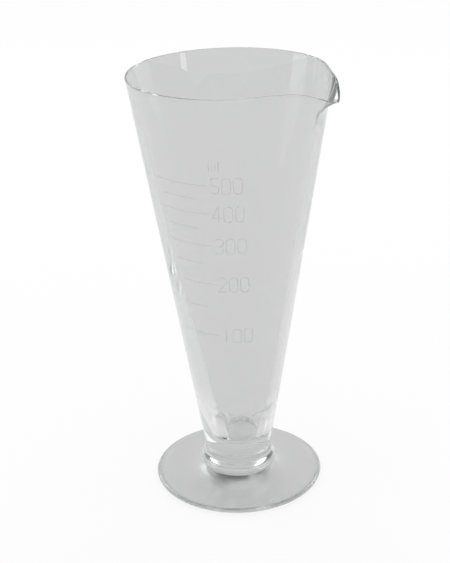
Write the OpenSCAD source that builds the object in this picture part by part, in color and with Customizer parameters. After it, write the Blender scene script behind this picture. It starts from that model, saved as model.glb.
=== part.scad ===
// Conical glass measure: a graduated bowl with a pouring lip, on a beaded stem and a round foot.
// The origin is the centre of the foot's underside. +Z is up and +X points to the lip.

/* [Bowl] */
// Height of the rim above the table
height = 248; // [236:1:262]
// Outer radius of the bowl at the rim
rim_r = 56.3; // [53:0.1:59]
// Outer radius of the bowl where it sits on the stem
neck_r = 19.8; // [18.6:0.1:21]
// Wall thickness at the rim
rim_wall = 1.3; // [1:0.1:1.8]
// Wall thickness at the cavity's shoulder
base_wall = 7.5; // [6:0.1:8.2]
// Height of the cavity's shoulder, where the solid base begins to close in
shoulder_z = 58; // [50:0.5:62]
// Height of the lowest point of the cavity
cavity_z = 26; // [25:0.5:34]
// Depth of the fine seam where the bowl is fused to the stem
seam_depth = 0.4; // [0.2:0.05:0.6]
// Height of the bevel on each side of that seam
seam_height = 0.6; // [0.4:0.1:1]

/* [Lip] */
// How far the tip of the lip stands out past the rim
lip_reach = 11; // [7:0.5:13]
// How far the tip of the lip lies below the rim
lip_drop = 8.1; // [4:0.1:10]
// How far the rim is drawn in on each side of the lip
pinch = 3.4; // [0.5:0.1:4.5]
// Bearing of the drawn-in places, in degrees from the tip
pinch_bearing = 32.5; // [30:0.5:36]
// Spread of the lip and of the drawn-in places along the rim, in degrees
lip_spread = 20.6; // [18:0.1:23]
// Spread of the dip in the rim, in degrees
dip_spread = 12.5; // [10:0.5:16]
// Height of the zone that the lip and the pinch fade out over
lip_zone = 30; // [24:1:36]

/* [Stem] */
// Height of the stem, from the foot's top to the bowl
stem_h = 13.9; // [13:0.1:15.4]
// Outer radius of the bead round the stem
bead_r = 22.5; // [21.8:0.1:23.6]
// Half width of the bead's oval section
bead_half_w = 7; // [5.6:0.1:8]
// Half height of the bead's oval section
bead_half_h = 5.1; // [4.5:0.1:5.6]
// Height of the bead's centre above the foot's top
bead_lift = 4.1; // [3.8:0.1:4.3]

/* [Foot] */
// Outer radius of the foot
foot_r = 49.5; // [46:0.5:54]
// Height of the foot at its middle
foot_h = 8.4; // [7:0.1:9]
// Height of the foot's top at its edge
foot_edge_h = 4.2; // [3.8:0.1:4.6]
// Height of the foot's widest line
foot_widest_z = 3.2; // [2.4:0.1:3.6]
// How far the rounding under the edge reaches in
foot_under = 4.9; // [3:0.1:6]
// How far the rounding over the edge reaches in
foot_over = 1.6; // [1:0.1:2.5]

/* [Scale] */
// Height of a line's stroke
line_w = 0.45; // [0.3:0.05:0.7]
// Thickness of the marks on the glass
mark_t = 0.12; // [0.1:0.01:0.2]
// Bearing of the middle of the lines, in degrees from the lip
line_bearing = -93.5; // [-110:0.5:-80]
// Angle that a long line spans
long_span = 42; // [30:1:48]
// Angle that a short line spans
short_span = 25.5; // [16:0.5:30]
// Clear distance between the end of a long line and its numeral
numeral_gap = 1.6; // [1:0.1:4]
// Height of a digit
digit_h = 9.2; // [7:0.1:10]
// Clear distance between two digits
digit_gap = 1.5; // [1:0.1:2]
// Width of a digit's stroke
digit_stroke = 0.5; // [0.35:0.05:0.7]
// Distance of the unit mark above the top numeral
unit_gap = 4.4; // [3:0.1:6]
// Height of the unit mark's tall bar
unit_h = 4.8; // [4:0.1:6]
// Distance between two bars of the unit mark
unit_pitch = 1.7; // [1.4:0.1:2]

/* [Hidden] */

$fn = 64;
glass = [0.80, 0.82, 0.82];
frost = [0.95, 0.95, 0.96];
eps = 0.01;

neck_z = foot_h + stem_h;
cone_slope = (rim_r - neck_r) / (height - neck_z);

// Cavity: a straight cone above the shoulder, and a rounded cup below it
wall_slope = (base_wall - rim_wall) / (height - shoulder_z);
cavity_slope = cone_slope + wall_slope;
shoulder_r = cone_r(shoulder_z) - base_wall;
cup_depth = shoulder_z - cavity_z;
// Lengths of the cup curve's handles, as shares of its depth and of its radius
shoulder_pull = 0.35;
bottom_pull = 0.6;
cup_steps = 9;

// Lip: exponents that shape its tip, its dip and its fade
tip_power = 1.2;
dip_power = 1.7;
fade_power = 3;
lip_depths = [1, 0.78, 0.6, 0.44, 0.31, 0.2, 0.12, 0.06];
rim_steps = 4;

// Segments round the bowl, drawn closer together at the lip by a shift in degrees
segments = 72;
crowding = 38;

// Cubic millimetres in a millilitre
ml = 1000;
// Volumes of the lines, in millilitres
long_lines = [100, 200, 300, 400, 500];
short_lines = [150, 250, 350, 450];
top_line = 500;
long_half = long_span / 2;
digit_w = digit_h / 2;
digit_pitch = digit_w + digit_gap;
digit_count = 3;
// Segments of the marks' curve, fine enough to lie on the bowl's points
mark_segments = 360;
numeral_w = digit_w + digit_pitch * (digit_count - 1);
// How far the drawing plane of a digit stands off, past the widest part of the bowl
reach = rim_r + lip_reach;

// Outer radius of the cone at height z
function cone_r(z) = neck_r + (z - neck_z) * cone_slope;

// Wall thickness at height z, above the shoulder
function wall(z) = rim_wall + (height - z) * wall_slope;

function cube_root(v) = pow(v, 1 / 3);

function frustum(r0, r1, dz) = PI * dz * (r0 * r0 + r0 * r1 + r1 * r1) / 3;

function total(list) = list * [for (v = list) 1];

function bezier(p, t) =
    let (u = 1 - t)
    u * u * u * p[0] + 3 * u * u * t * p[1] + 3 * u * t * t * p[2] + t * t * t * p[3];

// Handles of the cup's curve, from the shoulder down to the axis
cup = [[shoulder_r, shoulder_z],
    [shoulder_r - cavity_slope * cup_depth * shoulder_pull, shoulder_z - cup_depth * shoulder_pull],
    [shoulder_r * bottom_pull, cavity_z],
    [0, cavity_z]];
cup_curve = [for (i = [0:cup_steps]) bezier(cup, i / cup_steps)];
cup_volume = total([for (i = [1:cup_steps])
    frustum(cup_curve[i - 1][0], cup_curve[i][0], cup_curve[i - 1][1] - cup_curve[i][1])]);

// Height at which the cavity holds the given number of millilitres
function line_z(volume) =
    let (swept = (volume * ml - cup_volume) * 3 * cavity_slope / PI)
    shoulder_z + (cube_root(swept + pow(shoulder_r, 3)) - shoulder_r) / cavity_slope;

// Bell curve of the angle a, with its half width s and its power p
function bell(a, s, p) = exp(-pow(abs(a) / s, p));

// How far the rim stands out from its circle at a bearing, the lip less the pinch
function lip_out(a) = lip_reach * bell(a, lip_spread, tip_power)
    - pinch * bell(abs(a) - pinch_bearing, lip_spread, 2);

function lip_down(a) = lip_drop * bell(a, dip_spread, dip_power);

// Bearing of each column of points, from -180 to 180 degrees
function bearing(i) =
    let (a = 360 * i / segments - 180)
    a - crowding * sin(a);

// One ring of the wall: d below the rim, inset from the outer face
function wall_ring(d, inset) = [for (i = [0:segments - 1])
    let (a = bearing(i),
        fade = max(0, 1 - d / lip_zone),
        r = cone_r(height - d) - inset + lip_out(a) * pow(fade, fade_power),
        z = height - d - lip_down(a) * fade * fade)
    [r * cos(a), r * sin(a), z]];

// One ring of the rim's rounding, at the angle t over it from the outside
function rim_ring(t) =
    let (half = rim_wall / 2)
    wall_ring(half * (1 - sin(t)), half * (1 - cos(t)));

function plain_ring(r, z) = [for (i = [0:segments - 1])
    let (a = bearing(i))
    [r * cos(a), r * sin(a), z]];

// Rings of the whole bowl, up the outside, over the rim and down the inside
bowl_rings = concat(
    [plain_ring(neck_r - seam_depth, neck_z)],
    [plain_ring(cone_r(neck_z + seam_height), neck_z + seam_height)],
    [for (s = lip_depths) wall_ring(lip_zone * s, 0)],
    [for (i = [0:rim_steps]) rim_ring(180 * i / rim_steps)],
    [for (i = [len(lip_depths) - 1:-1:0])
        let (d = lip_zone * lip_depths[i])
        wall_ring(d, wall(height - d))],
    [for (i = [0:cup_steps - 1]) plain_ring(cup_curve[i][0], cup_curve[i][1])]);
bowl_points = [for (ring = bowl_rings) each ring];
bowl_last = (len(bowl_rings) - 1) * segments;

// Two triangles for each place between two rings, a base polygon and a fan at the cavity's lowest point
function next(i) = (i + 1) % segments;
bowl_faces = concat(
    [[for (i = [0:segments - 1]) i]],
    [for (k = [0:len(bowl_rings) - 2], i = [0:segments - 1])
        let (low = k * segments, high = low + segments)
        each [[low + i, high + i, low + next(i)], [low + next(i), high + i, high + next(i)]]],
    [for (i = [0:segments - 1]) [bowl_last + i, len(bowl_points), bowl_last + next(i)]]);

module bowl() {
    color(glass, 0.5)
    polyhedron(concat(bowl_points, [[0, 0, cavity_z]]), bowl_faces);
}

// Solid stem with its bead, fused between the foot and the bowl
module knop() {
    color(glass, 0.7)
    rotate_extrude() {
        intersection() {
            translate([bead_r - bead_half_w, foot_h + bead_lift])
            scale([1, bead_half_h / bead_half_w])
            circle(bead_half_w);
            translate([0, foot_h])
            square([bead_r + eps, stem_h]);
        }
        polygon([[0, foot_h],
            [bead_r - bead_half_w, foot_h],
            [neck_r, foot_h + bead_lift],
            [neck_r, neck_z - seam_height],
            [neck_r - seam_depth, neck_z],
            [0, neck_z]]);
    }
}

// Quarter of an ellipse about c, with the half axes a and b, from angle t0 to t1
function ellipse(c, a, b, t0, t1, steps) =
    [for (i = [0:steps]) let (t = t0 + (t1 - t0) * i / steps) c + [a * cos(t), b * sin(t)]];

// Round foot, flat below, with a rounded edge and a top that sweeps up to the stem
module foot() {
    edge_steps = 8;
    sweep_steps = 6;
    reach_in = foot_r - foot_over - bead_r;
    climb = foot_h - foot_edge_h;
    sweep = [[foot_r - foot_over, foot_edge_h],
        [bead_r + reach_in * 0.55, foot_edge_h + climb * 0.1],
        [bead_r + reach_in * 0.2, foot_h - climb * 0.4],
        [bead_r, foot_h]];
    under = ellipse([foot_r - foot_under, foot_widest_z], foot_under, foot_widest_z, -90, 0, edge_steps);
    over = ellipse([foot_r - foot_over, foot_widest_z], foot_over, foot_edge_h - foot_widest_z,
        0, 90, edge_steps);
    color(glass, 0.6)
    rotate_extrude()
    polygon(concat([[0, 0]], under, [for (i = [1:edge_steps]) over[i]],
        [for (i = [1:sweep_steps]) bezier(sweep, i / sweep_steps)], [[0, foot_h]]));
}

// Section of a band on the cone, from z0 to z1, one mark thick
module band(z0, z1) {
    polygon([[cone_r(z0), z0], [cone_r(z0) + mark_t, z0], [cone_r(z1) + mark_t, z1], [cone_r(z1), z1]]);
}

// Graduation line at its volume's height, long at the hundreds and short between them
module graduation(volume, span) {
    z = line_z(volume);
    color(frost)
    rotate([0, 0, line_bearing - span / 2])
    rotate_extrude(angle = span, $fn = mark_segments)
    band(z - line_w / 2, z + line_w / 2);
}

// Wraps flat strokes, drawn about the middle of their left edge, onto the cone at height z
module on_glass(z, width, tall) {
    start = line_bearing + long_half;
    turn = (numeral_gap + width / 2) / cone_r(z) * 180 / PI;
    spread = (width + numeral_gap) / cone_r(z) * 180 / PI;
    color(frost)
    rotate([0, 0, start + turn])
    intersection() {
        rotate([0, 0, -spread])
        rotate_extrude(angle = 2 * spread, $fn = mark_segments)
        band(z - tall, z + tall);
        rotate([90, 0, 90])
        translate([-width / 2, z, 0])
        linear_extrude(reach)
        children();
    }
}

module bar(x0, y0, x1, y1) {
    length = norm([x1 - x0, y1 - y0]);
    translate([x0, y0])
    rotate(atan2(y1 - y0, x1 - x0))
    translate([-digit_stroke / 2, -digit_stroke / 2])
    square([length + digit_stroke, digit_stroke]);
}

// Curved stroke of radius r about a centre, from angle t0 to t1
module bow(x, y, r, t0, t1) {
    steps = 6;
    far = 2 * r;
    translate([x, y])
    intersection() {
        difference() {
            circle(r + digit_stroke / 2);
            circle(r - digit_stroke / 2);
        }
        polygon(concat([[0, 0]], [for (i = [0:steps])
            let (t = t0 + (t1 - t0) * i / steps)
            [far * cos(t), far * sin(t)]]));
    }
}

// Rounded upright oval, grown by the given amount, for the digit 0
module oval(grow) {
    r = digit_w / 2;
    translate([r, r])
    circle(r + grow);
    translate([r, digit_h - r])
    circle(r + grow);
    translate([-grow, r])
    square([digit_w + 2 * grow, digit_h - digit_w]);
}

module digit(n) {
    r = digit_w / 2;
    top = digit_h - r;
    if (n == 0) difference() {
        oval(digit_stroke / 2);
        oval(-digit_stroke / 2);
    }
    if (n == 1) {
        bar(r, 0, r, digit_h);
        bar(r, digit_h, r / 2, digit_h - r / 2);
    }
    if (n == 2) {
        bow(r, top, r, -35, 165);
        bar(r + r * cos(35), top - r * sin(35), 0, 0);
        bar(0, 0, digit_w, 0);
    }
    if (n == 3) {
        bow(r, top, r, -90, 150);
        bow(r, r, r, -150, 90);
    }
    if (n == 4) {
        stem_x = digit_w * 0.72;
        bar(stem_x, 0, stem_x, digit_h);
        bar(stem_x, digit_h, 0, r);
        bar(0, r, digit_w, r);
    }
    if (n == 5) {
        hip = r * 1.15;
        bar(r / 3, digit_h, digit_w, digit_h);
        bar(r / 3, digit_h, r - r * cos(50), hip + r * sin(50));
        bow(r, hip, r, -145, 130);
    }
}

// Numeral beside its long line, centred on the line's height
module numeral(volume) {
    on_glass(line_z(volume), numeral_w, digit_h)
    translate([0, -digit_h / 2]) {
        digit(volume / 100);
        translate([digit_pitch, 0])
        digit(0);
        translate([2 * digit_pitch, 0])
        digit(0);
    }
}

// Plain group of upright bars above the top numeral, three low and one tall
module unit_mark() {
    low = unit_h * 0.6;
    on_glass(line_z(top_line) + digit_h / 2 + unit_gap + unit_h / 2, unit_pitch * 4, unit_h)
    translate([0, -unit_h / 2]) {
        for (i = [0:2]) bar(i * unit_pitch, 0, i * unit_pitch, low);
        bar(3 * unit_pitch, 0, 3 * unit_pitch, unit_h);
    }
}

foot();
knop();
bowl();
for (v = long_lines) graduation(v, long_span);
for (v = short_lines) graduation(v, short_span);
for (v = long_lines) numeral(v);
unit_mark();
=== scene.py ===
"""Looks of a conical glass measure: clear glass, etched marks, and the plain studio round it."""

import logging
import math
from dataclasses import dataclass
from enum import Enum
from typing import Callable, Iterable, Sequence

import bmesh
import bpy
from mathutils import Matrix, Vector


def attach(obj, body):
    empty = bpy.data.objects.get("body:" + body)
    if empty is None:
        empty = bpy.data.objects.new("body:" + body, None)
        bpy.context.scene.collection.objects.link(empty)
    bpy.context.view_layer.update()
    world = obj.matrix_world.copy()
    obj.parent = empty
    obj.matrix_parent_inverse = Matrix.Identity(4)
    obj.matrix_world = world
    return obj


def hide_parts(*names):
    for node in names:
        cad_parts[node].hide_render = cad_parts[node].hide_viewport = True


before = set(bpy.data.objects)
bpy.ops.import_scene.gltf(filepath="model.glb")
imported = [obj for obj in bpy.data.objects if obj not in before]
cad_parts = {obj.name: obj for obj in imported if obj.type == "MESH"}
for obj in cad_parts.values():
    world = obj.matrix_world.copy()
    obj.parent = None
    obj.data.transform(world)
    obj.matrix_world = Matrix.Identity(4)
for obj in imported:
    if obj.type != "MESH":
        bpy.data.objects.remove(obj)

LOG = logging.getLogger("measure")
ROOT = "root"
# One millimetre, in metres
MM = 0.001
# Light runs a long way inside the thin wall before it leaves it
GLASS_BOUNCES = 512
# Face attribute that says where two pieces are fused
FUSED_LAYER = "fused"
# Distance between two fused faces, in millimetres
JOINT_GAP = 0.01
# Points nearer than this are merged after a spin, in metres
MERGE_DISTANCE = 1e-7
# Least upright share of the normal of a level face
LEVEL = 0.999
# Edges sharper than this many degrees stay sharp
CREASE = 40.0
# Sockets of the Mix node where it mixes colours
MIX_SHARE, MIX_FIRST, MIX_SECOND, MIX_RESULT = 0, 6, 7, 2

Point = tuple[float, float]
Span = tuple[float, float]
Triple = tuple[float, float, float]
Colour = tuple[float, float, float, float]


class Face(Enum):
    """What a face of a glass piece is, as the value of its mesh attribute."""

    FREE = 0.0
    FUSED = 1.0


class Wire:
    """A socket that carries a number. Arithmetic on it adds Math nodes."""

    def __init__(self, sheet: "Sheet", socket: bpy.types.NodeSocket) -> None:
        """Wraps a socket.

        Args:
            sheet: The node sheet that the socket belongs to.
            socket: The output socket.
        """
        self.sheet = sheet
        self.socket = socket

    def _math(self, operation: str, *values: object) -> "Wire":
        """Adds one Math node.

        Args:
            operation: The Math node's operation.
            values: Its values or wires, in order.

        Returns:
            The wire of its result.
        """
        sockets = dict(enumerate(values))
        return self.sheet.node("ShaderNodeMath", {"operation": operation}, sockets)

    def __add__(self, other: object) -> "Wire":
        """Adds a wire or a plain number.

        Args:
            other: What is added.

        Returns:
            The wire of the sum.
        """
        return self._math("ADD", self, other)

    __radd__ = __add__

    def __rsub__(self, other: object) -> "Wire":
        """Takes this wire from a plain number.

        Args:
            other: The number.

        Returns:
            The wire of the difference.
        """
        return self._math("SUBTRACT", other, self)

    def __mul__(self, other: object) -> "Wire":
        """Multiplies by a wire or a plain number.

        Args:
            other: The other factor.

        Returns:
            The wire of the product.
        """
        return self._math("MULTIPLY", self, other)

    __rmul__ = __mul__

    def most(self, other: object) -> "Wire":
        """Picks the larger of two.

        Args:
            other: A wire or a plain number.

        Returns:
            The wire of the larger one.
        """
        return self._math("MAXIMUM", self, other)

    def least(self, other: object) -> "Wire":
        """Picks the smaller of two.

        Args:
            other: A wire or a plain number.

        Returns:
            The wire of the smaller one.
        """
        return self._math("MINIMUM", self, other)

    def is_count(self, count: int) -> "Wire":
        """Compares a counted value with a whole number.

        Args:
            count: The whole number.

        Returns:
            The wire of 1 where they are the same, and of 0 elsewhere.
        """
        half_step = 0.5
        return self._math("COMPARE", self, float(count), half_step)


class Sheet:
    """The node sheet of one material or world."""

    def __init__(self, tree: bpy.types.NodeTree) -> None:
        """Clears a node tree and draws on it.

        Args:
            tree: The tree of a material or a world.
        """
        self.tree = tree
        tree.nodes.clear()

    def node(self, kind: str, settings: dict, sockets: dict, out: int | str = 0) -> Wire:
        """Adds one node.

        Args:
            kind: The node's type.
            settings: What is set on the node itself, before its sockets.
            sockets: Values or wires of its input sockets, by name or number.
            out: The output socket that is returned.

        Returns:
            The wire of that output.
        """
        made = self.tree.nodes.new(kind)
        for name, value in settings.items():
            setattr(made, name, value)
        for name, value in sockets.items():
            if isinstance(value, Wire):
                self.tree.links.new(value.socket, made.inputs[name])
            else:
                made.inputs[name].default_value = value
        return Wire(self, made.outputs[out])

    def place(self) -> Wire:
        """Reads the point that is shaded.

        Returns:
            The wire of its Object coordinates, in metres.
        """
        return self.node("ShaderNodeTexCoord", {}, {}, "Object")

    def light_path(self, out: str) -> Wire:
        """Reads what kind of ray is traced, or how often it has met glass.

        Args:
            out: The Light Path node's output.

        Returns:
            The wire of that output.
        """
        return self.node("ShaderNodeLightPath", {}, {}, out)

    def ramp(self, value: Wire, span: Span, ends: Span) -> Wire:
        """Passes smoothly from one number to another.

        Args:
            value: What it goes by.
            span: The values at which it starts and ends.
            ends: Its results there.

        Returns:
            The wire of its result.
        """
        return self.node("ShaderNodeMapRange", {"interpolation_type": "SMOOTHSTEP"}, {
            "Value": value, "From Min": span[0], "From Max": span[1],
            "To Min": ends[0], "To Max": ends[1]})

    def bump(self, height: Wire, strength: float, depth: float) -> Wire:
        """Tilts the surface by a height.

        Args:
            height: The height, from 0 to 1.
            strength: How much of the tilt is taken.
            depth: The height of 1, in metres.

        Returns:
            The wire of the tilted normal.
        """
        return self.node("ShaderNodeBump", {}, {
            "Height": height, "Strength": strength, "Distance": depth})

    def blend(self, share: object, first: object, second: object) -> Wire:
        """Mixes two colours.

        Args:
            share: How much of the second is taken, from 0 to 1.
            first: The colour at 0.
            second: The colour at 1.

        Returns:
            The wire of the mixed colour.
        """
        return self.node("ShaderNodeMix", {"data_type": "RGBA"}, {
            MIX_SHARE: share, MIX_FIRST: first, MIX_SECOND: second}, MIX_RESULT)

    def end(self, kind: str, surface: Wire, volume: Wire | None = None) -> None:
        """Ends the sheet in its output node.

        Args:
            kind: The output node's type.
            surface: The shader of the surface.
            volume: The shader of the body, if it has one.
        """
        made = self.tree.nodes.new(kind)
        self.tree.links.new(surface.socket, made.inputs["Surface"])
        if volume:
            self.tree.links.new(volume.socket, made.inputs["Volume"])


@dataclass(frozen=True)
class Grain:
    """An even noise: its swells in a metre, its finer layers, and how strong those are."""

    size: float
    detail: float
    roughness: float

    def draw(self, sheet: Sheet, place: Wire) -> Wire:
        """Draws the noise.

        Args:
            sheet: The sheet that it is drawn on.
            place: The point that it is read at.

        Returns:
            The wire of its value, from 0 to 1.
        """
        return sheet.node("ShaderNodeTexNoise", {"noise_dimensions": "3D"}, {
            "Vector": place, "Scale": self.size, "Detail": self.detail,
            "Roughness": self.roughness})


def grey(level: float) -> Colour:
    """A neutral grey as a colour.

    Args:
        level: How light it is, from 0 to 1.

    Returns:
        The colour.
    """
    return (level, level, level, 1.0)


def tone(level: float, cast: float) -> Colour:
    """A grey with a faint green cast, as a colour.

    Args:
        level: How light it is, from 0 to 1.
        cast: The share that green gains and red loses.

    Returns:
        The colour.
    """
    return (level * (1 - cast), level * (1 + cast), level, 1.0)


def new_sheet(name: str) -> tuple[bpy.types.Material, Sheet]:
    """Makes a material with an empty sheet.

    Args:
        name: The material's name.

    Returns:
        The material and its sheet.
    """
    made = bpy.data.materials.new(name)
    made.use_nodes = True
    return made, Sheet(made.node_tree)


def seen_by_eye_or_glass(sheet: Sheet) -> Wire:
    """A mask that is 1 for what the camera, a reflection or a look through glass sees.

    Args:
        sheet: The sheet that it is drawn on.

    Returns:
        The wire of the mask.
    """
    eye = sheet.light_path("Is Camera Ray")
    gloss = sheet.light_path("Is Glossy Ray")
    through = sheet.light_path("Is Transmission Ray")
    return eye.most(gloss).most(through)


@dataclass(frozen=True)
class ClearGlass:
    """Clear pressed glass. A look through it takes its grey once, where it leaves the first wall.

    A share of that grey is spared, as painted light, once the glass has turned the look back
    inside;
    how much is set by height. Near the axis the grey is changed, as painted shade and light. The
    body of the glass swallows a little light on its way, so that rims and thick places are darker.
    Where two pieces are fused, light passes straight from one into the other. Lengths in metres.
    """

    name: str
    grey_once: float = 0.373
    # Painted shade and light: the grey within the middle radius, fading out over the middle fade
    painted_middle_grey: float = 0.365
    middle_r: float = 0.02
    middle_fade: float = 0.02
    cast: float = 0.008
    clear: float = 0.99
    thickness_tint: Colour = (0.20, 0.26, 0.24, 1.0)
    thickness_density: float = 0.6
    cords: Grain = Grain(26.0, 2.0, 0.45)
    cord_stretch: Triple = (1.0, 1.0, 0.12)
    cord_strength: float = 0.35
    cord_depth: float = 0.00002
    film: Grain = Grain(14.0, 3.0, 0.5)
    smear: float = 0.012
    ior: float = 1.52
    # Painted light: share of the grey spared in looks turned back inside, at the low and high ends
    # of the zone
    painted_light_low: float = 0.0
    painted_light_high: float = 0.0
    painted_light_zone: Span = (0.036, 0.062)

    def spared(self, sheet: Sheet, place: Wire) -> Wire:
        """Draws painted light: how much of its grey a look is spared once the glass has turned it
        back inside.

        Args:
            sheet: The sheet that it is drawn on.
            place: The point, in Object coordinates.

        Returns:
            The wire of a share that passes from its low to its high value over the zone's heights.
        """
        turned_back = sheet.light_path("Glossy Depth").least(1.0)
        height = sheet.node("ShaderNodeSeparateXYZ", {}, {"Vector": place}, "Z")
        ends = (self.painted_light_low, self.painted_light_high)
        return turned_back * sheet.ramp(height, self.painted_light_zone, ends)

    def painted_middle_shade(self, sheet: Sheet, place: Wire) -> Wire:
        """Draws where the painted shade and light near the axis fall, by how near the axis a point
        of the glass is.

        Args:
            sheet: The sheet that it is drawn on.
            place: The point, in Object coordinates.

        Returns:
            The wire of a share that is 1 within the middle radius and falls to 0 over the fade.
        """
        flat = sheet.node("ShaderNodeVectorMath", {"operation": "MULTIPLY"},
                          {0: place, 1: (1.0, 1.0, 0.0)})
        radius = sheet.node("ShaderNodeVectorMath", {"operation": "LENGTH"}, {0: flat}, "Value")
        return sheet.ramp(radius, (self.middle_r, self.middle_r + self.middle_fade), (1.0, 0.0))

    def build(self) -> bpy.types.Material:
        """Makes the material.

        Returns:
            The finished material.
        """
        made, sheet = new_sheet(self.name)
        place = sheet.place()
        drawn = sheet.node("ShaderNodeMapping", {}, {"Vector": place, "Scale": self.cord_stretch})
        cords = self.cords.draw(sheet, drawn)
        film = self.film.draw(sheet, place)
        swell = sheet.bump(cords, self.cord_strength, self.cord_depth)
        fused = sheet.node("ShaderNodeAttribute", {"attribute_name": FUSED_LAYER}, {}, "Fac")
        leaving_first = sheet.light_path("Transmission Depth").is_count(1)
        # Painted light in looks turned back inside, and painted shade and light near the axis
        taking = leaving_first * (1 - self.spared(sheet, place))
        taken = sheet.blend(self.painted_middle_shade(sheet, place),
                            tone(self.grey_once, self.cast), tone(self.painted_middle_grey, self.cast))
        body = sheet.node("ShaderNodeBsdfPrincipled", {}, {
            "Base Color": sheet.blend(taking, grey(self.clear), taken),
            "Roughness": film * self.smear,
            "IOR": self.ior,
            "Alpha": 1 - fused,
            "Transmission Weight": 1.0,
            "Normal": swell,
        })
        inner = sheet.node("ShaderNodeVolumeAbsorption", {},
                           {"Color": self.thickness_tint, "Density": self.thickness_density})
        sheet.end("ShaderNodeOutputMaterial", body, inner)
        return made


@dataclass(frozen=True)
class EtchedMark:
    """A fine etched stroke: a thin frosted layer, uneven along its length. Lengths in metres."""

    name: str = "etched_mark"
    cover: float = 0.17
    cover_least: float = 0.65
    cover_play: float = 0.5
    shade: float = 0.42
    worn_gain: float = 1.25
    roughness: float = 0.55
    roughness_play: float = 0.2
    wear: Grain = Grain(120.0, 3.0, 0.6)
    frost: Grain = Grain(1800.0, 2.0, 0.5)
    frost_strength: float = 0.4
    frost_depth: float = 0.00003

    def build(self) -> bpy.types.Material:
        """Makes the material.

        Returns:
            The finished material.
        """
        made, sheet = new_sheet(self.name)
        place = sheet.place()
        worn = self.wear.draw(sheet, place)
        frost = self.frost.draw(sheet, place)
        body = sheet.node("ShaderNodeBsdfPrincipled", {}, {
            "Base Color": sheet.blend(worn, grey(self.shade), grey(self.shade * self.worn_gain)),
            "Roughness": self.roughness + frost * self.roughness_play,
            "Alpha": self.cover * (worn * self.cover_play + self.cover_least),
            "Normal": sheet.bump(frost, self.frost_strength, self.frost_depth),
        })
        sheet.end("ShaderNodeOutputMaterial", body)
        return made


@dataclass(frozen=True)
class PaleFloor:
    """A white table: it shows white to the eye and through the glass, and keeps the shadow."""

    name: str = "pale_floor"
    colour: float = 0.92
    lift: float = 0.85

    def build(self) -> bpy.types.Material:
        """Makes the material.

        Returns:
            The finished material.
        """
        made, sheet = new_sheet(self.name)
        seen = seen_by_eye_or_glass(sheet)
        table = sheet.node("ShaderNodeBsdfDiffuse", {}, {"Color": grey(self.colour)})
        white = sheet.node("ShaderNodeEmission", {}, {"Color": grey(1.0), "Strength": 1.0})
        both = sheet.node("ShaderNodeMixShader", {}, {0: seen * self.lift, 1: table, 2: white})
        sheet.end("ShaderNodeOutputMaterial", both)
        return made


@dataclass(frozen=True)
class CardGlow:
    """The plain glow of a studio card."""

    name: str
    level: float

    def build(self) -> bpy.types.Material:
        """Makes the material.

        Returns:
            The finished material.
        """
        made, sheet = new_sheet(self.name)
        glow = sheet.node("ShaderNodeEmission", {}, {"Color": grey(1.0), "Strength": self.level})
        sheet.end("ShaderNodeOutputMaterial", glow)
        return made


def arc(centre: Point, half: Point, start: float, stop: float, steps: int) -> list[Point]:
    """Points along part of an ellipse.

    Args:
        centre: Its centre, as radius and height.
        half: Its half axes.
        start: The first angle, in degrees.
        stop: The last angle, in degrees.
        steps: How many stretches it has.

    Returns:
        The points, both ends among them.
    """
    turns = [math.radians(start + (stop - start) * i / steps) for i in range(steps + 1)]
    return [(centre[0] + half[0] * math.cos(t), centre[1] + half[1] * math.sin(t)) for t in turns]


def curve(handles: Sequence[Point], steps: int) -> list[Point]:
    """Points along a cubic curve.

    Args:
        handles: Its start, two handles and end.
        steps: How many stretches it has.

    Returns:
        The points, both ends among them.
    """
    out = []
    for i in range(steps + 1):
        t = i / steps
        u = 1 - t
        share = (u * u * u, 3 * u * u * t, 3 * u * t * t, t * t * t)
        out.append(tuple(sum(w * p[k] for w, p in zip(share, handles)) for k in range(2)))
    return out


def straight(start: Point, stop: Point, steps: int) -> list[Point]:
    """Evenly spaced points along a line.

    Args:
        start: Its first point.
        stop: Its last point.
        steps: How many stretches it has.

    Returns:
        The points, both ends among them.
    """
    return [tuple(a + (b - a) * i / steps for a, b in zip(start, stop)) for i in range(steps + 1)]


def turn(profile: Iterable[Point], steps: int) -> bmesh.types.BMesh:
    """Spins a profile about the upright axis into a closed shell.

    Args:
        profile: Radius and height of its points, in millimetres, both ends on the axis.
        steps: Segments round the axis.

    Returns:
        The shell, with its faces turned outwards.
    """
    shell = bmesh.new()
    line = [shell.verts.new((r * MM, 0.0, z * MM)) for r, z in profile]
    for low, high in zip(line[:-1], line[1:]):
        shell.edges.new((low, high))
    bmesh.ops.spin(shell, geom=shell.verts[:] + shell.edges[:], cent=(0, 0, 0), axis=(0, 0, 1),
                   angle=2 * math.pi, steps=steps, use_merge=True)
    bmesh.ops.remove_doubles(shell, verts=shell.verts[:], dist=MERGE_DISTANCE)
    bmesh.ops.recalc_face_normals(shell, faces=shell.faces[:])
    return shell


def finish_piece(shell: bmesh.types.BMesh, name: str, finish: bpy.types.Material,
                 kind_of: Callable[[bmesh.types.BMFace], Face]) -> bpy.types.Object:
    """Turns a shell into a smooth, dressed piece of the object.

    Args:
        shell: The mesh, which is freed.
        name: The piece's name.
        finish: Its material.
        kind_of: Says whether a face is free or fused to a neighbour.

    Returns:
        The piece.
    """
    layer = shell.faces.layers.float.new(FUSED_LAYER)
    for face in shell.faces:
        face.smooth = True
        face[layer] = kind_of(face).value
    mesh = bpy.data.meshes.new(name)
    shell.to_mesh(mesh)
    shell.free()
    mesh.set_sharp_from_angle(angle=math.radians(CREASE))
    mesh.materials.append(finish)
    piece = bpy.data.objects.new(name, mesh)
    bpy.context.scene.collection.objects.link(piece)
    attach(piece, ROOT)
    LOG.info("%s: %d faces", name, len(mesh.polygons))
    return piece


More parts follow.
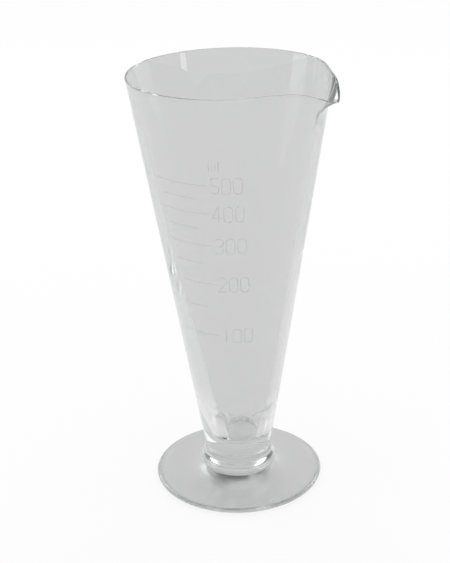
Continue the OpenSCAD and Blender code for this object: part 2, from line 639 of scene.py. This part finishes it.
@dataclass
class Bowl:
    """The conical bowl: its wall, thick base, rounded rim and pouring lip. Sizes in millimetres."""

    height: float = 248.0
    neck_z: float = 22.3
    rim_r: float = 56.23
    neck_r: float = 19.78
    rim_wall: float = 1.3
    base_wall: float = 7.5
    shoulder_z: float = 52.5
    cavity_z: float = 27.0
    knee: Point = (10.6, 31.0)
    knee_drop: float = 0.75
    bottom_pull: float = 0.62
    cavity_shift: float = 1.5
    shift_bearing: float = 33.0
    shift_zone: Span = (60.0, 150.0)
    seam_depth: float = 0.4
    seam_height: float = 0.6
    lip_reach: float = 10.9
    lip_drop: float = 8.1
    lip_zone: float = 30.0
    pinch: float = 3.4
    pinch_bearing: float = 32.5
    lip_spread: float = 20.6
    dip_spread: float = 12.5
    tip_power: float = 1.2
    dip_power: float = 1.7
    fade_power: float = 3.0
    wall_steps: int = 14
    lip_steps: int = 26
    rim_steps: int = 8
    side_steps: int = 10
    cup_steps: int = 30
    segments: int = 288

    def cone_r(self, z: float) -> float:
        """Outer radius of the straight wall.

        Args:
            z: The height.

        Returns:
            The radius at that height.
        """
        climb = (z - self.neck_z) * (self.rim_r - self.neck_r)
        return self.neck_r + climb / (self.height - self.neck_z)

    def wall(self, z: float) -> float:
        """Thickness of the wall above the shoulder.

        Args:
            z: The height.

        Returns:
            The thickness at that height.
        """
        growth = (self.height - z) * (self.base_wall - self.rim_wall)
        return self.rim_wall + growth / (self.height - self.shoulder_z)

    def cup(self, shoulder: Point) -> list[Point]:
        """Outline of the bottom of the cavity.

        Args:
            shoulder: Its first point, where the wall ends.

        Returns:
            Points from the shoulder, over the knee, to the axis.
        """
        knee_r, knee_z = self.knee
        below = (knee_z - self.cavity_z) * self.knee_drop
        side = (shoulder[0] - knee_r) / (shoulder[1] - knee_z)
        handles = [self.knee, (knee_r - below * side, knee_z - below),
                   (knee_r * self.bottom_pull, self.cavity_z), (0.0, self.cavity_z)]
        upper = straight(shoulder, self.knee, self.side_steps)
        return upper + curve(handles, self.cup_steps)[1:]

    def profile(self) -> list[Point]:
        """Outline of the round bowl, before its lip is drawn out.

        Returns:
            Points from the axis at the neck, over the rim, to the axis in the cavity.
        """
        half = self.rim_wall / 2
        top = self.height - half
        low = self.height - self.lip_zone
        seam_top = self.neck_z + self.seam_height
        outer_low = (self.cone_r(low), low)
        outside = straight((self.cone_r(seam_top), seam_top), outer_low, self.wall_steps)
        flare = straight(outer_low, (self.cone_r(top), top), self.lip_steps)
        rim = arc((self.cone_r(top) - half, top), (half, half), 0, 180, self.rim_steps)
        inner_low = (self.cone_r(low) - self.wall(low), low)
        inner_flare = straight(rim[-1], inner_low, self.lip_steps)
        shoulder = (self.cone_r(self.shoulder_z) - self.base_wall, self.shoulder_z)
        inside = straight(inner_low, shoulder, self.wall_steps)
        joint_z = self.neck_z + JOINT_GAP
        return [(0.0, joint_z), (self.neck_r - self.seam_depth, joint_z), *outside, *flare[1:],
                *rim[1:], *inner_flare[1:], *inside[1:], *self.cup(shoulder)[1:]]

    def lip_out(self, bearing: float) -> float:
        """How far the rim stands out of its circle.

        Args:
            bearing: Degrees from the tip.

        Returns:
            The distance, which is below 0 where the rim is pinched.
        """
        tip = self.lip_reach * math.exp(-((abs(bearing) / self.lip_spread) ** self.tip_power))
        from_pinch = (abs(bearing) - self.pinch_bearing) / self.lip_spread
        return tip - self.pinch * math.exp(-(from_pinch ** 2))

    def lip_down(self, bearing: float) -> float:
        """How far the rim dips.

        Args:
            bearing: Degrees from the tip.

        Returns:
            The distance.
        """
        return self.lip_drop * math.exp(-((abs(bearing) / self.dip_spread) ** self.dip_power))

    def draw_lip(self, shell: bmesh.types.BMesh) -> None:
        """Draws the lip and the pinched places out of the round rim.

        Args:
            shell: The bowl's shell, which is changed.
        """
        for vert in shell.verts:
            fade = max(0.0, 1 - (self.height - vert.co.z / MM) / self.lip_zone)
            radius = math.hypot(vert.co.x, vert.co.y)
            if fade <= 0 or radius < self.rim_wall * MM:
                continue
            bearing = math.degrees(math.atan2(vert.co.y, vert.co.x))
            grown = 1 + self.lip_out(bearing) * MM * fade ** self.fade_power / radius
            drop = self.lip_down(bearing) * fade * fade
            vert.co = Vector((vert.co.x * grown, vert.co.y * grown, vert.co.z - drop * MM))

    def shift_cavity(self, shell: bmesh.types.BMesh) -> None:
        """Sets the lower cavity a little off the axis, as it is in hand-finished glass.

        Args:
            shell: The bowl's shell, which is changed.
        """
        low, high = self.shift_zone
        bearing = math.radians(self.shift_bearing)
        towards = Vector((math.cos(bearing), math.sin(bearing), 0.0))
        for vert in shell.verts:
            z = vert.co.z / MM
            radius = math.hypot(vert.co.x, vert.co.y)
            is_outside = radius > (self.cone_r(z) - self.rim_wall / 2) * MM
            if z < self.cavity_z - JOINT_GAP or z > high or is_outside:
                continue
            fade = min(1.0, (high - z) / (high - low))
            vert.co += towards * (self.cavity_shift * MM * fade * fade * (3 - 2 * fade))

    def kind_of(self, face: bmesh.types.BMFace) -> Face:
        """Says whether a face of the bowl is free or fused to the stem.

        Args:
            face: The face.

        Returns:
            What it is.
        """
        joint_top = (self.neck_z + 2 * JOINT_GAP) * MM
        return Face.FUSED if face.calc_center_median().z < joint_top else Face.FREE

    def build(self) -> bpy.types.Object:
        """Makes the bowl.

        Returns:
            The piece.
        """
        shell = turn(self.profile(), self.segments)
        self.draw_lip(shell)
        self.shift_cavity(shell)
        shell.normal_update()
        # The lower bowl gets painted light where the glass turns a look back inside
        finish = ClearGlass("bowl_clear_glass", painted_light_low=0.38, painted_light_high=0.12).build()
        piece = finish_piece(shell, "glass_bowl", finish, self.kind_of)
        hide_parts("bowl")
        return piece


@dataclass
class Stem:
    """The solid stem with its bead. Sizes in millimetres."""

    base_z: float = 8.4
    top_z: float = 22.3
    neck_r: float = 19.78
    bead_r: float = 22.48
    bead_half_w: float = 7.0
    bead_half_h: float = 5.1
    bead_lift: float = 4.1
    crease_out: float = 0.55
    crease_h: float = 1.7
    seam_depth: float = 0.4
    seam_height: float = 0.6
    bead_steps: int = 40
    fillet_steps: int = 10
    neck_steps: int = 3
    segments: int = 288

    def bead(self) -> list[Point]:
        """Outline of the bead.

        Returns:
            Points from the foot to where the fillet over the bead begins.
        """
        middle = (self.bead_r - self.bead_half_w, self.base_z + self.bead_lift)
        low_angle = -math.degrees(math.asin(self.bead_lift / self.bead_half_h))
        top_out = self.neck_r + self.crease_out - middle[0]
        high_angle = math.degrees(math.acos(top_out / self.bead_half_w))
        half = (self.bead_half_w, self.bead_half_h)
        return arc(middle, half, low_angle, high_angle, self.bead_steps)

    def fillet(self, before: Point, start: Point) -> list[Point]:
        """Outline of the small fillet between the bead and the neck.

        Args:
            before: The last point but one of the bead.
            start: The last point of the bead.

        Returns:
            Points from the bead to the neck.
        """
        neck = (self.neck_r, start[1] + self.crease_h)
        run = math.hypot(start[0] - before[0], start[1] - before[1])
        half = self.crease_h / 2
        onward = tuple(a + (a - b) * half / run for a, b in zip(start, before))
        return curve([start, onward, (neck[0], neck[1] - half), neck], self.fillet_steps)

    def profile(self) -> list[Point]:
        """Outline of the stem.

        Returns:
            Points from the axis on the foot, over the bead, to the axis at the bowl.
        """
        bead = self.bead()
        fillet = self.fillet(bead[-2], bead[-1])
        seam_z = self.top_z - self.seam_height
        joint_z = self.top_z - JOINT_GAP
        upright = straight(fillet[-1], (self.neck_r, seam_z), self.neck_steps)
        return [(0.0, self.base_z), (bead[0][0], self.base_z), *bead[1:], *fillet[1:],
                *upright[1:], (self.neck_r - self.seam_depth, joint_z), (0.0, joint_z)]

    def kind_of(self, face: bmesh.types.BMFace) -> Face:
        """Says whether a face of the stem is free or fused to a neighbour.

        Args:
            face: The face.

        Returns:
            What it is.
        """
        return Face.FUSED if abs(face.normal.z) > LEVEL else Face.FREE

    def build(self) -> bpy.types.Object:
        """Makes the stem.

        Returns:
            The piece.
        """
        shell = turn(self.profile(), self.segments)
        finish = ClearGlass("stem_clear_glass", thickness_density=4.5).build()
        piece = finish_piece(shell, "glass_stem", finish, self.kind_of)
        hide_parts("knop")
        return piece


@dataclass
class Foot:
    """The round foot with its rounded edge. Sizes in millimetres."""

    radius: float = 49.48
    height: float = 8.4
    edge_h: float = 4.2
    widest_z: float = 3.2
    under: float = 4.9
    over: float = 1.6
    joint_r: float = 19.6
    rise_out: Point = (36.0, 4.9)
    rise_in: Point = (26.0, 5.9)
    under_steps: int = 16
    over_steps: int = 10
    rise_steps: int = 28
    segments: int = 288

    def profile(self) -> list[Point]:
        """Outline of the foot.

        Returns:
            Points from the axis underneath, round the edge, to the axis on top.
        """
        lower = arc((self.radius - self.under, self.widest_z), (self.under, self.widest_z),
                    -90, 0, self.under_steps)
        upper = arc((self.radius - self.over, self.widest_z),
                    (self.over, self.edge_h - self.widest_z), 0, 90, self.over_steps)
        joint_z = self.height - JOINT_GAP
        rise = curve([upper[-1], self.rise_out, self.rise_in, (self.joint_r, joint_z)],
                     self.rise_steps)
        return [(0.0, 0.0), *lower, *upper[1:], *rise[1:], (0.0, joint_z)]

    def kind_of(self, face: bmesh.types.BMFace) -> Face:
        """Says whether a face of the foot is free or fused to the stem.

        Args:
            face: The face.

        Returns:
            What it is.
        """
        joint_low = (self.height - 2 * JOINT_GAP) * MM
        return Face.FUSED if face.calc_center_median().z > joint_low else Face.FREE

    def build(self) -> bpy.types.Object:
        """Makes the foot.

        Returns:
            The piece.
        """
        shell = turn(self.profile(), self.segments)
        # Painted shade: the foot's grey is darker than the bowl's, for the shadow under it; its
        # middle is painted lighter, and looks turned back inside get painted light
        finish = ClearGlass("foot_clear_glass", grey_once=0.35, painted_middle_grey=0.39, middle_r=0.020,
                            middle_fade=0.014, thickness_density=1.2, smear=0.30,
                            painted_light_low=0.12).build()
        piece = finish_piece(shell, "glass_foot_disc", finish, self.kind_of)
        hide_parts("foot")
        return piece


@dataclass
class Scale:
    """The etched lines, numerals and unit mark, which keep their own nodes."""

    prefixes: tuple[str, ...] = ("line_", "numeral_", "unit_mark")

    def dress(self) -> int:
        """Gives every mark its etched finish.

        Returns:
            How many marks were dressed.
        """
        finish = EtchedMark().build()
        marks = [node for name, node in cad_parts.items() if name.startswith(self.prefixes)]
        for mark in marks:
            for place in mark.material_slots:
                place.material = finish
            LOG.info("%s: etched", mark.name)
        return len(marks)


@dataclass(frozen=True)
class Card:
    """One card or lamp of the studio, which the camera doesn't see.

    Its bearing is counted to the right of the camera's line of sight, beyond the object. Its level
    is a card's glow or a lamp's power in watts. Angles in degrees, lengths in metres.
    """

    name: str
    bearing: float
    rise: float
    distance: float
    size: Span
    level: float

    def place(self, aim: Vector, sight: float) -> Vector:
        """Where its middle is.

        Args:
            aim: The point that it is measured from.
            sight: The bearing of the camera's line of sight.

        Returns:
            The middle of the card.
        """
        bearing, rise = math.radians(sight - self.bearing), math.radians(self.rise)
        flat = self.distance * math.cos(rise)
        up = self.distance * math.sin(rise)
        return aim + Vector((flat * math.cos(bearing), flat * math.sin(bearing), up))


@dataclass
class Studio:
    """The pale floor, the white surround, the cards and the lamps. Lengths in metres."""

    floor_r: float = 6.0
    floor_z: float = -0.0002
    floor_segments: int = 96
    ambient: float = 0.95
    sight: float = 123.0
    aim: Triple = (0.0, 0.0, 0.12)
    cards: tuple[Card, ...] = (
        Card("card_ceiling", 0.0, 83.0, 1.5, (1.6, 1.5), 0.10),
        Card("card_flank_right", 66.0, 46.0, 1.5, (0.80, 1.0), 0.15),
        Card("card_flank_left", -68.0, 46.0, 1.5, (0.95, 1.0), 0.15),
        Card("card_window", 124.5, 9.2, 2.0, (0.24, 0.09), 3.8),
        Card("card_streak", -88.0, 2.0, 2.5, (1.06, 0.45), 2.1),
        Card("card_edge", -54.0, 2.0, 2.5, (0.45, 0.45), 1.8),
        Card("card_side", 52.0, 3.0, 1.9, (1.5, 0.45), 1.8),
    )
    lamps: tuple[Card, ...] = (
        Card("lamp_right", 34.0, 34.0, 1.3, (0.26, 0.22), 0.9),
        Card("lamp_left", -29.0, 35.0, 1.3, (0.30, 0.38), 1.5),
    )

    def turned_to_aim(self, card: Card) -> Matrix:
        """The placement of a card that faces the studio's aim.

        Args:
            card: The card.

        Returns:
            The matrix.
        """
        aim = Vector(self.aim)
        start = card.place(aim, self.sight)
        facing = (aim - start).to_track_quat("-Z", "Y")
        return Matrix.Translation(start) @ facing.to_matrix().to_4x4()

    def stage_mesh(self, shape: bmesh.types.BMesh, name: str,
                   finish: bpy.types.Material) -> bpy.types.Object:
        """Makes a part of the studio, which isn't part of the object.

        Args:
            shape: Its mesh, which is freed.
            name: Its name.
            finish: Its material.

        Returns:
            The object.
        """
        mesh = bpy.data.meshes.new(name)
        shape.to_mesh(mesh)
        shape.free()
        mesh.materials.append(finish)
        made = bpy.data.objects.new(name, mesh)
        bpy.context.scene.collection.objects.link(made)
        return made

    def lay_floor(self) -> None:
        """Lays the pale floor just under the foot."""
        disc = bmesh.new()
        bmesh.ops.create_circle(disc, cap_ends=True, segments=self.floor_segments,
                                radius=self.floor_r,
                                matrix=Matrix.Translation((0, 0, self.floor_z)))
        self.stage_mesh(disc, "studio_floor", PaleFloor().build())

    def stand_card(self, card: Card) -> None:
        """Stands a card where only glass and gloss see it.

        Args:
            card: The card.
        """
        half_side = 0.5
        shape = bmesh.new()
        bmesh.ops.create_grid(shape, x_segments=1, y_segments=1, size=half_side,
                              matrix=Matrix.Diagonal((card.size[0], card.size[1], 1.0, 1.0)))
        shape.transform(self.turned_to_aim(card))
        made = self.stage_mesh(shape, card.name, CardGlow(card.name, card.level).build())
        made.visible_camera = False
        made.visible_diffuse = False
        made.visible_shadow = False

    def hang_lamp(self, lamp: Card) -> None:
        """Hangs a soft area lamp.

        Args:
            lamp: The lamp.
        """
        light = bpy.data.lights.new(lamp.name, "AREA")
        light.shape = "RECTANGLE"
        light.size, light.size_y = lamp.size
        light.energy = lamp.level
        made = bpy.data.objects.new(lamp.name, light)
        made.matrix_world = self.turned_to_aim(lamp)
        made.visible_camera = False
        bpy.context.scene.collection.objects.link(made)

    def light_world(self) -> None:
        """Surrounds the studio with a plain white light."""
        world = bpy.data.worlds.new("white_surround")
        world.use_nodes = True
        bpy.context.scene.world = world
        sheet = Sheet(world.node_tree)
        strength = self.ambient + seen_by_eye_or_glass(sheet) * (1 - self.ambient)
        glow = sheet.node("ShaderNodeBackground", {}, {"Color": grey(1.0), "Strength": strength})
        sheet.end("ShaderNodeOutputWorld", glow)

    def build(self) -> None:
        """Builds the whole studio."""
        self.lay_floor()
        self.light_world()
        for card in self.cards:
            self.stand_card(card)
        for lamp in self.lamps:
            self.hang_lamp(lamp)


@dataclass
class Viewpoint:
    """The camera at the photograph's viewing angle. Distances in metres, angles in degrees."""

    distance: float = 0.6855
    height: float = 0.42375
    bearing: float = 33.0
    pan: float = -0.451
    pitch: float = 23.498
    roll: float = -1.593
    lens: float = 83.52
    sensor: float = 36.0
    clip_start: float = 0.01

    def build(self) -> None:
        """Makes the camera."""
        data = bpy.data.cameras.new("view")
        data.lens = self.lens
        data.sensor_width = self.sensor
        data.clip_start = self.clip_start
        camera = bpy.data.objects.new("view", data)
        turned = Matrix.Rotation(math.radians(self.bearing), 4, "Z")
        stand = turned @ Vector((0, -self.distance, self.height))
        look = (Matrix.Rotation(math.radians(self.bearing - self.pan), 4, "Z")
                @ Matrix.Rotation(math.radians(90 - self.pitch), 4, "X")
                @ Matrix.Rotation(math.radians(self.roll), 4, "Z"))
        camera.matrix_world = Matrix.Translation(stand) @ look
        bpy.context.scene.collection.objects.link(camera)
        bpy.context.scene.camera = camera


def set_light_paths() -> None:
    """Lets light bounce as often as a thin glass wall asks for, and shows colours unchanged."""
    cycles = bpy.context.scene.cycles
    cycles.max_bounces = GLASS_BOUNCES
    cycles.transmission_bounces = GLASS_BOUNCES
    cycles.glossy_bounces = GLASS_BOUNCES
    cycles.transparent_max_bounces = GLASS_BOUNCES
    bpy.context.scene.view_settings.view_transform = "Standard"


def main() -> None:
    """Builds the camera, the studio, the glass and the marks, in that order."""
    logging.basicConfig(level=logging.INFO, format="%(name)s: %(message)s")
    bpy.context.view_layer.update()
    set_light_paths()
    Viewpoint().build()
    Studio().build()
    Foot().build()
    Stem().build()
    Bowl().build()
    LOG.info("marks dressed: %d", Scale().dress())


if __name__ == "__main__":
    main()
